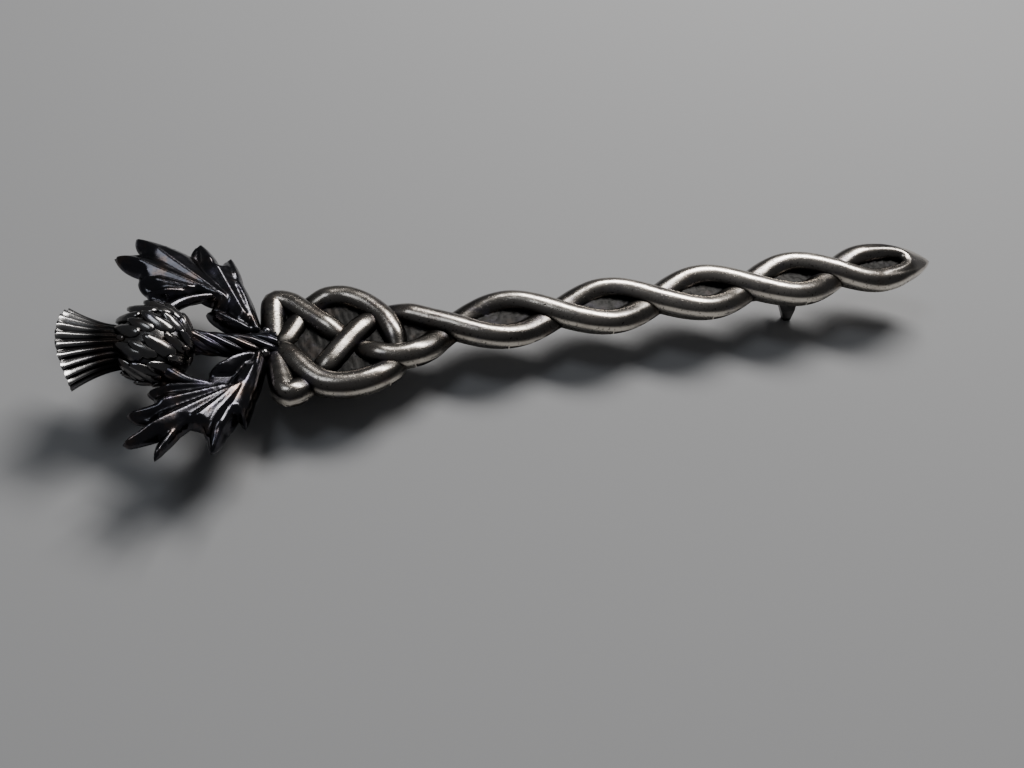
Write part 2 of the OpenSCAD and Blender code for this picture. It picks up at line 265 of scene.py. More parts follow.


# Shares of tarnish and pits, the width of a hollow that stays dark with patina and painted shade, and
# how open a place must be to show its full crown colour
def metal(name, crown, rough, tint, pits, hollow, clear=(0.5, 0.96), fade=None, skirt=None):
    made = bpy.data.materials.new(name)
    made.use_nodes = True
    tree = made.node_tree
    bench = Bench(tree)
    place = bench.node("ShaderNodeTexCoord", {}, {}, "Object")

    def noise(size, detail=4.0, stretch=None):
        at = place
        if stretch:
            at = bench.node("ShaderNodeMapping", {}, {"Vector": place, "Scale": stretch})
        return bench.node("ShaderNodeTexNoise", {}, {"Vector": at, "Scale": 1 / (size * mm),
                                                     "Detail": detail, "Roughness": 0.6}, "Fac")

    def blend(mask, low, high):
        return bench.node("ShaderNodeMix", {"data_type": "RGBA"}, {0: mask, 6: low, 7: high}, 2)

    # Darker in hollows and where parts touch: partly patina, partly painted shade from ambient
    # occlusion
    openness = bench.node("ShaderNodeAmbientOcclusion", {"samples": 8}, {"Distance": hollow * mm}, "AO")
    blotch = noise(silver["brownSize"])
    wearAndShade = (openness + (blotch - 0.5) * 0.3).ramp(*clear)
    lit = wearAndShade
    x, _, z = bench.split(place)
    if fade:  # painted shade: darker from the first x to the second, by a share
        lit = lit * (1 - fade[2] * x.ramp(fade[0] * mm, fade[1] * mm))
    if skirt:  # painted shade, with some patina, below the crowns, but not on the upright walls
        share = ((x / mm - tieX) / (tipX - tieX)).atLeast(0)
        rise = z / mm - pin["backHeight"] - pin["tipRise"] * share * share - pin["strandGain"] * share
        upward = bench.split(bench.node("ShaderNodeNewGeometry", {}, {}, "Normal"))[2]
        point = x.ramp((eyeX - 0.6) * mm, (eyeX + 0.6) * mm)
        shade = silver["skirtShare"] * (1 - rise.ramp(*skirt)) * upward.ramp(0.15, 0.5)
        lit = lit * (1 - shade * (1 - point))
    colour = blend(lit, (*silver["recess"], 1), (*crown, 1))
    if skirt:  # the upright walls get a painted pale reflection of the floor where they stand free
        wallSheen = (1 - upward.ramp(0.1, 0.4)) * wearAndShade * wearAndShade * silver["wallSheenShare"]
        colour = blend(wallSheen, colour, (*silver["wallSheenTone"], 1))
    colour = blend(blotch.ramp(*silver["brownEdge"]) * tint, colour, (*silver["brown"], 1))
    bloom = noise(silver["violetSize"]).ramp(*silver["violetEdge"])
    colour = blend(bloom * tint, colour, (*silver["violet"], 1))
    spots = noise(silver["pitSize"], 2.0).ramp(*silver["pitEdge"]) * pits
    colour = blend(spots, colour, (*silver["recess"], 1))
    scratch = noise(silver["scratchSize"], 6.0, silver["scratchStretch"])
    roughness = rough + (1 - wearAndShade) * silver["hollowRough"] + (scratch - 0.5) * silver["scratchShare"]
    roughness = roughness + spots * 0.15
    height = noise(silver["grainSize"], 3.0) * 0.5 + noise(silver["dentSize"], 2.0) * 0.9 - spots * 0.8
    bump = bench.node("ShaderNodeBump", {}, {
        "Strength": silver["bump"], "Distance": silver["relief"] * mm, "Height": height})
    shader = tree.nodes["Principled BSDF"]
    varied = {"Base Color": colour, "Roughness": roughness.atLeast(0.08), "Normal": bump}
    for socket, value in varied.items():
        tree.links.new(value.socket, shader.inputs[socket])
    shader.inputs["Metallic"].default_value = 1.0
    return made


brightSilver = metal("brightSilver", crown=(0.58, 0.53, 0.475), rough=0.23, tint=0.34, pits=0.9,
                     hollow=1.5, clear=(0.55, 0.98), fade=(18, -20, 0.6), skirt=(0.8, 1.42))
leafSilver = metal("leafSilver", crown=(0.052, 0.051, 0.057), rough=0.19, tint=0.5, pits=0.3,
                   hollow=0.9, clear=(0.4, 0.96))
bulbSilver = metal("bulbSilver", crown=(0.15, 0.145, 0.142), rough=0.19, tint=0.4, pits=0.3,
                   hollow=0.7, clear=(0.35, 0.95))
tuftSilver = metal("tuftSilver", crown=(0.29, 0.283, 0.28), rough=0.19, tint=0.12, pits=0.25,
                   hollow=0.85, clear=(0.55, 0.98), fade=(-39.0, -37.1, 0.97))
floorSilver = metal("floorSilver", crown=(0.016, 0.0155, 0.015), rough=0.5, tint=0.07, pits=0.8,
                    hollow=1.2, clear=(0.2, 0.9))
# Dark silver for the hinge and catch, painted shade where they stand under the pin
shadedDullSilver = metal("shadedDullSilver", crown=(0.13, 0.127, 0.125), rough=0.34, tint=0.2, pits=0.4, hollow=1.0)
wireSilver = metal("wireSilver", crown=(0.42, 0.41, 0.40), rough=0.30, tint=0.1, pits=0.3, hollow=0.6)
print("finishes ready")

# Strands: a rounded crown on an upright wall, swept along a path of (x, y, crown level, width)
strand = dict(domeHeight=1.0, domeRound=0.92, wallDepth=2.4, wallInset=0.985, wallCorner=0.14,
              spacing=0.28, around=40, ripple=0.05, rippleSize=1.3, pointDrop=0.38)


def strandTree():
    names = ["Half width", "Dome height", "Wall depth", "Around", "Ripple", "Ripple size",
             "Back height", "Tip rise", "Tie", "Tip", "Eye middle", "Eye length", "Eye width",
             "Point length", "Point width", "Squareness"]
    bench, given = formTree("strandForm", names)
    ring = bench.node("GeometryNodeCurvePrimitiveCircle", {"mode": "RADIUS"},
                      {"Resolution": strand["around"], "Radius": 1.0})
    x, y, _ = bench.split(bench.node("GeometryNodeInputPosition"))
    low = y.ramp(-0.001, 0.001)  # the lower half of the section is the wall
    squarer = x.sign() * x.abs() ** strand["wallCorner"]
    side = (x + (squarer * strand["wallInset"] - x) * low) * given["Half width"]
    up = y.atMost(0).abs() ** strand["domeRound"] * given["Dome height"]
    down = y.atLeast(0) ** 0.5 * given["Wall depth"]
    ring = bench.node("GeometryNodeSetPosition", {}, {
        "Geometry": ring, "Position": bench.point(side, down - up, 0)})
    inputs = {"Curve": given["Geometry"], "Profile Curve": ring, "Fill Caps": True}
    sweep = bench.node("GeometryNodeCurveToMesh", {}, inputs)
    if "Scale" in sweep.socket.node.inputs:
        radius = bench.node("GeometryNodeInputRadius")
        bench.tree.links.new(radius.socket, sweep.socket.node.inputs["Scale"])
    spot = bench.node("GeometryNodeInputPosition")
    px, py, pz = bench.split(spot)
    share = ((px - given["Tie"]) / (given["Tip"] - given["Tie"])).atLeast(0)
    back = given["Back height"] + given["Tip rise"] * share * share
    wave = bench.node("ShaderNodeTexNoise", {}, {"Vector": spot, "Scale": 1 / given["Ripple size"],
                                                 "Detail": 1.0}, "Fac")
    above = ((pz - back) / (0.3 * mm)).atMost(1).atLeast(0)
    push = bench.vector("SCALE", bench.node("GeometryNodeInputNormal"))
    ripple = (wave - 0.5) * given["Ripple"] * above
    bench.tree.links.new(ripple.socket, push.socket.node.inputs["Scale"])
    away = ((px - given["Eye middle"]) / given["Eye length"]).atLeast(0)
    ahead = away ** given["Squareness"]
    aside = (py.abs() / given["Eye width"]) ** given["Squareness"]
    beyond = (((ahead + aside) ** (1 / given["Squareness"]) - 1) / 0.11).atLeast(0).atMost(1)
    taper = (1 - py.abs() / given["Point width"]).atLeast(0) * (away * 1.5).atMost(1)
    stretch = beyond * given["Point length"] * taper
    height = (pz - stretch * strand["pointDrop"]).atLeast(back)
    shape = bench.node("GeometryNodeSetPosition", {}, {
        "Geometry": sweep, "Position": bench.point(px + stretch, py, height), "Offset": push})
    closeTree(bench, shape, given["Material"])
    return bench


strandBench = strandTree()


def strandMesh(rows):
    rows = np.array(rows, float)
    along = np.concatenate([[0], np.cumsum(np.linalg.norm(np.diff(rows[:, :2], axis=0), axis=1))])
    stops = np.linspace(0, along[-1], max(4, int(along[-1] / strand["spacing"])))
    x, y, level, width = (np.interp(stops, along, rows[:, k]) for k in range(4))
    scale = width / pin["strandWidth"]
    shoulder = crownAt(x, level) - strand["domeHeight"] * scale
    curve = bpy.data.curves.new("path", "CURVE")
    curve.dimensions = "3D"
    curve.twist_mode = "Z_UP"
    line = curve.splines.new("POLY")
    line.points.add(len(stops) - 1)
    for point, px, py, pz, r in zip(line.points, x, y, shoulder, scale):
        point.co = (px * mm, py * mm, pz * mm, 1)
        point.radius = r
    return grow(placed("seed", curve), strandBench, brightSilver, {
        "Half width": pin["strandWidth"] / 2 * mm, "Dome height": strand["domeHeight"] * mm,
        "Wall depth": strand["wallDepth"] * mm, "Around": strand["around"],
        "Ripple": strand["ripple"] * mm, "Ripple size": strand["rippleSize"] * mm,
        "Back height": pin["backHeight"] * mm, "Tip rise": pin["tipRise"] * mm, "Tie": tieX * mm,
        "Tip": tipX * mm, "Eye middle": (eyeX - eyeLength) * mm, "Eye length": eyeLength * mm,
        "Eye width": loopSwing * mm, "Point width": blade["pointWidth"] * mm,
        "Point length": (blade["pointLength"] - blade["endWidth"] / 2 + blade["overhang"]) * mm,
        "Squareness": blade["squareness"]})


def smoothRows(rows, cuts):  # Catmull-Rom curve through the rows
    rows = np.array(rows, float)
    wide = np.vstack([rows[:1], rows, rows[-1:]])
    made = []
    for a, b, c, d in zip(wide, wide[1:], wide[2:], wide[3:]):
        for t in np.arange(cuts) / cuts:
            made.append(0.5 * (2 * b + (c - a) * t + (2 * a - 5 * b + 4 * c - d) * t ** 2
                               + (3 * b - a - 3 * c + d) * t ** 3))
    return np.vstack(made + [rows[-1]])


# Knot strands: share of the knot's length, share of its half width, crown level
knot = dict(
    hairpin=[(0.01, 0.05, 0.4), (0.02, 0.45, 0.6), (0.034, 0.82, 0.85), (0.05, 0.94, 0.92),
             (0.085, 0.935, 0.95), (0.14, 0.83, 1.0), (0.21, 0.59, 1.0), (0.30, 0.30, 1.0),
             (0.36, 0.10, 0.6), (0.41, -0.04, 0.0), (0.46, -0.18, 0.0), (0.50, -0.31, 0.6),
             (0.56, -0.44, 1.0), (0.64, -0.51, 1.0), (0.75, -0.49, 1.0), (0.84, -0.37, 0.6),
             (0.92, -0.18, 0.1), (1.00, 0.00, 0.0)],
    band=[(0.01, -0.05, 0.4), (0.015, -0.45, 0.6), (0.022, -0.80, 0.85), (0.035, -0.93, 0.9),
          (0.065, -0.945, 0.9), (0.10, -0.89, 0.7), (0.14, -0.81, 0.3), (0.18, -0.72, 0.0),
          (0.23, -0.60, 0.4), (0.28, -0.47, 0.9), (0.40, -0.10, 1.0), (0.48, 0.12, 1.0),
          (0.54, 0.27, 0.7), (0.60, 0.38, 0.0), (0.68, 0.42, 0.3), (0.79, 0.31, 1.0),
          (0.89, 0.16, 1.0), (1.00, 0.00, 1.0)],
    ring=[(0.02, 0.02, 0.4), (0.06, 0.10, 0.5), (0.095, 0.21, 0.5), (0.13, 0.36, 0.5),
          (0.17, 0.54, 0.45), (0.22, 0.72, 0.35), (0.28, 0.84, 0.6), (0.35, 0.90, 1.0),
          (0.44, 0.88, 1.0), (0.52, 0.74, 1.0), (0.59, 0.52, 1.0), (0.64, 0.27, 1.0),
          (0.665, 0.00, 0.8), (0.67, -0.22, 0.3), (0.66, -0.42, 0.0), (0.64, -0.58, 0.1),
          (0.60, -0.72, 0.5), (0.53, -0.84, 0.9), (0.44, -0.92, 1.0), (0.34, -0.935, 1.0),
          (0.24, -0.86, 1.0), (0.17, -0.68, 1.0), (0.12, -0.45, 1.0), (0.07, -0.20, 0.8),
          (0.03, -0.07, 0.5)])


def knotPath(rows, gain=0.0):  # gain is the strand's extra width where the blade begins
    return [(tieX + r[0] * pin["knotLength"], r[1] * knotHalf, min(1, max(0, r[2])),
             np.interp(r[0], [0.75, 1], [pin["strandWidth"], blade["strandWidth"] + gain]))
            for r in smoothRows(rows, 12)]


def twistPath(hand):  # hand 1 passes over at the first crossing
    rows = []
    for s in np.linspace(0, pin["crossings"] - 1, blade["steps"])[1:]:
        below = (1 - hand * math.cos(math.pi * s)) / 2
        aside = -hand * swing * math.sin(math.pi * s) * (1 - blade["tuck"] * below ** 2)
        gain = blade["overGain"] * (1 - below) ** 3 + blade["underGain"] * below ** 1.5
        width = blade["strandWidth"] + gain
        rows.append((crossX + s * pin["twistPitch"], aside, 1 - below ** 1.7, width))
    level, gain = (1, blade["overGain"]) if hand > 0 else (0, blade["underGain"])
    half = eyeX - eyeLength - loopX
    for t in np.linspace(0, 1, blade["loopSteps"])[1:]:  # out to the widest place
        rows.append((loopX + t * half, -hand * loopSwing * math.sin(math.pi / 2 * t),
                     level * (1 - t) + blade["loopLevel"] * t,
                     blade["strandWidth"] + gain * (1 - t) + blade["loopGain"] * t))
    for a in np.linspace(0, math.pi / 2, blade["loopSteps"])[1:]:  # and round the end of the eye
        u = math.sin(a) ** (2 / blade["squareness"])
        v = max(0, math.cos(a)) ** (2 / blade["squareness"])
        width = loopWidth + (blade["endWidth"] - loopWidth) * u ** 1.4
        rows.append((eyeX - eyeLength + u * eyeLength, -hand * loopSwing * v,
                     blade["loopLevel"] + (blade["endLevel"] - blade["loopLevel"]) * u ** 2, width))
    rows.append((eyeX, hand * blade["endSplit"], blade["endLevel"], blade["endWidth"]))
    return rows


def knotStrands():
    hairpin = knotPath(knot["hairpin"], blade["underGain"]) + twistPath(-1)
    band = knotPath(knot["band"], blade["overGain"]) + twistPath(1)
    ring = knotPath(knot["ring"])
    for name, path in (("hairpinStrand", hairpin), ("bandStrand", band), ("ringStrand", ring)):
        piece(name, joined(strandMesh(path)), brightSilver)


knotStrands()
print("strands swept")

# Recessed floor between the strands
recess = dict(outline=[(0.01, 0.3), (0.03, 0.85), (0.06, 0.9), (0.35, 0.85), (0.55, 0.6),
                       (0.7, 0.4), (0.9, 0.3), (1, 0.2)],
              bladeCut=0.125, loopCuts=(0.15, 0.3, 0.45, 0.6), narrowest=0.4, spacing=0.16, across=24,
              grain=0.09, raised=0.02, endShort=0.5, endHalf=0.75, seed=11)


def floorPlate():
    edge = [(tieX + a * pin["knotLength"], b * knotHalf) for a, b in recess["outline"]]
    for s in np.arange(recess["bladeCut"], pin["crossings"] - 0.99, recess["bladeCut"]):
        half = max(recess["narrowest"], swing * abs(math.sin(math.pi * s)))
        edge.append((crossX + s * pin["twistPitch"], half))
    for t in recess["loopCuts"]:
        edge.append((loopX + t * (tipX - loopX), loopSwing * math.sin(math.pi * t)))
    edge.append((eyeX - recess["endShort"], recess["endHalf"]))
    edge = np.array(edge)
    stops = np.arange(edge[0, 0], edge[-1, 0], recess["spacing"])
    half = np.interp(stops, edge[:, 0], edge[:, 1])
    cells = recess["across"]
    points, faces = [], []
    lattice = np.random.default_rng(recess["seed"]).random((len(stops), cells + 1)) - 0.5
    lattice = (lattice + np.roll(lattice, 1, 0) + np.roll(lattice, 1, 1)) / 1.7
    for i, (x, w) in enumerate(zip(stops, half)):
        z = float(backAt(x))
        for j in range(cells + 1):
            high = z + pin["floorHeight"] + recess["grain"] * lattice[i, j]
            points.append((x, w * (2 * j / cells - 1), high))
        points += [(x, w, z + recess["raised"]), (x, -w, z + recess["raised"])]
    n = cells + 3
    for i in range(len(stops) - 1):
        here, ahead = i * n, (i + 1) * n
        for j in range(n):
            side = (j + 1) % n
            faces.append((here + j, ahead + j, ahead + side, here + side))
    faces += [tuple(range(n)), tuple(len(points) - 1 - k for k in range(n))]
    piece("recessFloor", joined(plainMesh(points, faces)), floorSilver)


floorPlate()
print("recess floored")

# Leaves: one sheet each, veined and rounded at the edges
leaf = dict(thickness=0.5, veinHeight=0.95, lift=0.25, curl=0.8, grid=0.17, edgeRound=0.45,
            edgeDrop=0.32, fullness=1.1, groove=0.04, grooves=1.7, veinEdge=0.7, veinRound=0.8,
            swell=([0, 0.6, 1], [0.75, 1.25, 0.25]), fade=([0, 0.75, 1], [1, 0.95, 0.3]))
# Corner (x, y), then how far the edge to the next corner bulges, as a share of its length
upperLeaf = dict(
    edge=[(-24.9, 0.5, 0.0), (-25.35, 2.8, 0.0), (-25.6, 4.6, 0.02), (-26.25, 7.0, 0.06),
          (-27.0, 10.1, 0.08), (-27.9, 8.9, 0.06), (-29.35, 11.6, 0.12), (-30.3, 10.2, 0.08),
          (-34.5, 11.95, 0.12), (-34.2, 10.3, 0.03), (-36.2, 9.75, 0.12), (-34.4, 7.7, -0.02),
          (-34.5, 6.95, 0.10), (-33.9, 5.7, -0.1), (-34.1, 3.6, 0.0), (-32.6, 3.4, -0.15),
          (-31.6, 4.7, 0.04), (-29.8, 5.1, 0.05), (-28.9, 4.5, -0.06), (-29.5, 3.6, 0.08),
          (-28.7, 2.3, 0.03), (-28.1, 1.7, 0.04), (-26.6, 0.9, 0.0)],
    # Each lobe's root, tip and half width
    lobes=[(-25.5, 1.3, -26.95, 9.9, 0.75), (-26.5, 2.9, -29.2, 11.4, 1.2),
           (-27.9, 4.8, -34.3, 11.75, 1.35), (-28.2, 5.0, -36.0, 9.8, 1.2),
           (-28.4, 5.0, -34.4, 7.1, 0.9), (-28.5, 4.9, -33.6, 5.6, 0.6),
           (-26.4, 1.2, -29.3, 3.5, 0.85)])
lowerLeaf = dict(
    edge=[(-24.9, 0.5, 0.0), (-25.4, 2.8, 0.0), (-25.9, 4.6, 0.02), (-26.45, 6.0, 0.02),
          (-26.9, 7.5, 0.04), (-27.4, 8.8, 0.04), (-27.8, 7.9, 0.04), (-28.7, 9.4, 0.03),
          (-29.45, 10.8, 0.06), (-29.9, 11.05, 0.05), (-30.1, 9.8, 0.0), (-30.35, 8.9, -0.04),
          (-31.2, 8.5, 0.02), (-31.9, 9.2, 0.02), (-32.9, 10.6, 0.04), (-33.6, 11.4, 0.08),
          (-33.2, 9.5, 0.02), (-35.1, 10.1, 0.10), (-35.6, 9.8, 0.10), (-34.8, 8.9, 0.03),
          (-33.8, 8.0, 0.0), (-34.7, 7.8, 0.08), (-35.4, 7.0, 0.10), (-34.5, 6.55, 0.0),
          (-33.55, 6.3, -0.03), (-33.6, 5.4, 0.05), (-34.05, 4.8, 0.15), (-33.0, 4.3, 0.0),
          (-33.6, 3.2, 0.0), (-32.6, 2.9, -0.06), (-31.2, 4.0, -0.02), (-29.9, 4.0, -0.06),
          (-29.65, 2.8, 0.10), (-28.7, 2.0, 0.02), (-28.1, 1.5, 0.03), (-26.6, 0.9, 0.0)],
    lobes=[(-25.5, 1.3, -27.2, 8.5, 0.8), (-26.2, 3.0, -29.7, 10.8, 1.3),
           (-27.1, 4.6, -33.45, 11.1, 1.0), (-27.9, 5.2, -35.4, 9.8, 0.95),
           (-28.3, 5.1, -35.2, 7.1, 0.9), (-28.6, 4.9, -33.8, 4.85, 0.6),
           (-26.4, 1.2, -29.5, 3.1, 0.85)])


def arcs(corners, spacing):
    made = []
    for (x0, y0, bulge), (x1, y1, _) in zip(corners, corners[1:] + corners[:1]):
        run = math.hypot(x1 - x0, y1 - y0)
        steps = max(2, round(run / spacing))
        for t in np.arange(steps) / steps:
            out = 4 * bulge * t * (1 - t)
            made.append((x0 + (x1 - x0) * t + out * (y1 - y0), y0 + (y1 - y0) * t - out * (x1 - x0)))
    return made


def toEdge(points, outline):  # distance from each point to the closed outline
    a = np.array(outline)
    b = np.roll(a, -1, axis=0)
    best = np.full(len(points), 1e9)
    for p, q in zip(a, b):
        d = q - p
        t = np.clip(((points - p) @ d) / (d @ d), 0, 1)
        best = np.minimum(best, np.linalg.norm(points - (p + t[:, None] * d), axis=1))
    return best


def veins(points, lobes):
    height = np.zeros(len(points))
    for x0, y0, x1, y1, width in lobes:
        a = np.array([x0, y0])
        d = np.array([x1, y1]) - a
        t = np.clip(((points - a) @ d) / (d @ d), 0, 1)
        off = np.linalg.norm(points - (a + t[:, None] * d), axis=1)
        swell = width * np.interp(t, *leaf["swell"])
        share = np.clip(off / (swell * leaf["fullness"]), 0, 1)
        ridge = 0.7 * (1 - share ** 2) ** leaf["veinRound"] + 0.3 * (1 - share)
        ridge = ridge * np.interp(t, *leaf["fade"])
        fine = leaf["groove"] * np.cos(2 * math.pi * leaf["grooves"] * share)
        fine = fine * (1 - share) * (1 - 0.7 * t)
        height = np.maximum(height, leaf["veinHeight"] * ridge + fine)
    return height


def leafMesh(shape, side):
    outline = arcs(shape["edge"], leaf["grid"])
    low, high = np.min(outline, axis=0), np.max(outline, axis=0)
    step = leaf["grid"]
    xs, ys = np.meshgrid(np.arange(low[0], high[0], step), np.arange(low[1], high[1], step))
    xs, ys = xs.ravel(), ys.ravel()
    inner = np.stack([xs + 0.5 * step * (np.round(ys / step) % 2), ys], 1)
    inner = inner[toEdge(inner, outline) > 0.6 * step]
    flat = [Vector(p) for p in outline] + [Vector(p) for p in inner]
    n = len(outline)
    points, _, faces, *_ = geometry.delaunay_2d_cdt(flat, [], [list(range(n))], 1, 1e-6)
    points = np.array([tuple(p) for p in points])
    curl = leaf["curl"] * (points[:, 1] / (pin["leafSpan"] / 2)) ** 2
    base = backAt(points[:, 0]) + leaf["lift"] + curl
    gap = toEdge(points, outline)
    nearEdge = np.clip(gap / leaf["edgeRound"], 0, 1)
    drop = leaf["edgeDrop"] * (1 - np.sqrt(1 - (1 - nearEdge) ** 2))
    relief = veins(points, shape["lobes"]) * np.clip(gap / leaf["veinEdge"], 0, 1) ** 0.6
    top = base + leaf["thickness"] + relief - drop
    count = len(points)
    body = [(x, side * y, z) for (x, y), z in zip(points, top)]
    body += [(x, side * y, z) for (x, y), z in zip(points, base)]
    sides = dict.fromkeys((a, b) for face in faces for a, b in zip(face, face[1:] + face[:1]))
    edges = [(a, b) for a, b in sides if (b, a) not in sides]
    shell = [tuple(f) for f in faces] + [tuple(count + k for k in reversed(f)) for f in faces]
    shell += [(b, a, count + a, count + b) for a, b in edges]
    return joined(plainMesh(body, shell))


piece("upperLeaf", leafMesh(upperLeaf, 1), leafSilver)
piece("lowerLeaf", leafMesh(lowerLeaf, -1), leafSilver)
print("leaves veined")

# Bulb: a smooth core under rows of pointed scales
bulb = dict(length=5.6, width=7.0, height=4.2, sink=1.15, coreRings=32, coreTurns=48, rows=6,
            perRow=9, reach=62, scaleLength=2.9, scaleWidth=1.7, scaleHeight=0.68, scaleTurns=12,
            scaleRings=7, narrowing=0.45, keel=0.7, tilt=8, lean=-38, twist=22, overlap=0.6,
            smallest=0.86, largest=1.12, seed=3)
bulbX = tieX - pin["headLength"] + pin["tuftLength"] + bulb["length"] / 2 - bulb["overlap"]
bulbZ = float(backAt(bulbX)) + bulb["height"] / 2 - bulb["sink"]


def ball(length, width, height, centre, rings, turns):
    made = bmesh.new()
    bmesh.ops.create_uvsphere(made, u_segments=turns, v_segments=rings, radius=0.5)
    turn = Matrix.Rotation(math.pi / 2, 4, "Y")
    place = Matrix.Translation(Vector(centre) * mm)
    size = Matrix.Diagonal((length * mm, width * mm, height * mm, 1))
    bmesh.ops.transform(made, matrix=place @ size @ turn, verts=made.verts)
    mesh = bpy.data.meshes.new("ball")
    made.to_mesh(mesh)
    made.free()
    for polygon in mesh.polygons:
        polygon.use_smooth = True
    return mesh


def scaleTree():
    names = ["Rows", "Per row", "Reach", "Twist", "Length", "Width", "Height", "Middle X", "Middle Z",
             "Scale length", "Scale width", "Scale height", "Tilt", "Lean"]
    bench, given = formTree("scaleRows", names)
    spots = bench.node("GeometryNodePoints", {}, {"Count": given["Rows"] * given["Per row"]})
    order = bench.node("GeometryNodeInputIndex")
    row = (order / given["Per row"] + 0.001).floor()
    column = order - row * given["Per row"]
    lat = (row / (given["Rows"] - 1) * 2 - 1) * given["Reach"]
    shift = bench.number("MODULO", row, 2) * 0.5
    lon = (column + shift) / given["Per row"] * 2 * math.pi + row * given["Twist"]
    ux, uy, uz = -lat.sin(), lat.cos() * lon.cos(), lat.cos() * lon.sin()
    spot = bench.point(ux * given["Length"] / 2 + given["Middle X"], uy * given["Width"] / 2,
                       uz * given["Height"] / 2 + given["Middle Z"])
    spots = bench.node("GeometryNodeSetPosition", {}, {"Geometry": spots, "Position": spot})
    slope = bench.point(ux / given["Length"], uy / given["Width"], uz / given["Height"])
    out = bench.vector("NORMALIZE", slope)
    upright = bench.node("FunctionNodeAlignRotationToVector", {"axis": "Z"}, {"Vector": out})
    turned = bench.node("FunctionNodeAlignRotationToVector", {"axis": "X", "pivot_axis": "Z"},
                        {"Rotation": upright, "Vector": (-1.0, 0.0, 0.0)})
    lifted = bench.node("FunctionNodeRotateRotation", {"rotation_space": "LOCAL"}, {"Rotation": turned})
    angles = bench.point(0, -given["Tilt"], given["Lean"])
    tip = bench.node("FunctionNodeEulerToRotation", {}, {0: angles})
    bench.tree.links.new(tip.socket, lifted.socket.node.inputs[1])
    grain = bench.node("GeometryNodeMeshUVSphere", {}, {
        "Segments": bulb["scaleTurns"], "Rings": bulb["scaleRings"], "Radius": 0.5})
    gx, gy, gz = bench.split(bench.node("GeometryNodeInputPosition"))
    pointed = gy * (1 - (gx + 0.5) * bulb["narrowing"])  # narrower towards the tuft
    keel = gz * (1 - gy.abs() * bulb["keel"])
    grain = bench.node("GeometryNodeSetPosition", {}, {"Geometry": grain, "Position": bench.point(
        gx * given["Scale length"], pointed * given["Scale width"], keel * given["Scale height"])})
    chance = bench.node("FunctionNodeRandomValue", {"data_type": "FLOAT"},
                        {"Seed": bulb["seed"], 2: bulb["smallest"], 3: bulb["largest"]}, 1)
    near = lat.cos() ** 0.5
    size = bench.point(chance * near, chance * near, chance)
    scales = bench.node("GeometryNodeInstanceOnPoints", {}, {"Points": spots, "Instance": grain,
                                                             "Rotation": lifted, "Scale": size})
    closeTree(bench, scales, given["Material"])
    return bench


def thistleBulb():
    core = ball(bulb["length"], bulb["width"], bulb["height"], (bulbX, 0, bulbZ),
                bulb["coreRings"], bulb["coreTurns"])
    piece("bulbCore", core, bulbSilver)
    scales = grow(emptySeed(), scaleTree(), bulbSilver, {
        "Rows": bulb["rows"], "Per row": bulb["perRow"], "Reach": math.radians(bulb["reach"]),
        "Twist": math.radians(bulb["twist"]), "Length": bulb["length"] * mm,
        "Width": bulb["width"] * mm, "Height": bulb["height"] * mm,
        "Middle X": bulbX * mm, "Middle Z": bulbZ * mm,
        "Scale length": bulb["scaleLength"] * mm, "Scale width": bulb["scaleWidth"] * mm,
        "Scale height": bulb["scaleHeight"] * mm, "Tilt": math.radians(bulb["tilt"]),
        "Lean": math.radians(bulb["lean"])})
    piece("bulbScales", scales, bulbSilver)


thistleBulb()
print("bulb scaled")

# Tuft: a flaring sheaf of ribs with a dished end
tuft = dict(neckWidth=4.0, endWidth=7.9, neckShare=0.7, endHeight=3.9, lift=0.45, bulge=0.7,
            ribs=22, ribDepth=0.2, ribRound=0.85, neckDepth=0.45, dishDepth=0.4, rimStart=0.9,
            rimFade=0.5, flare=1.7, dish=0.7, fray=0.06, perRib=14, along=30, dishRings=10)


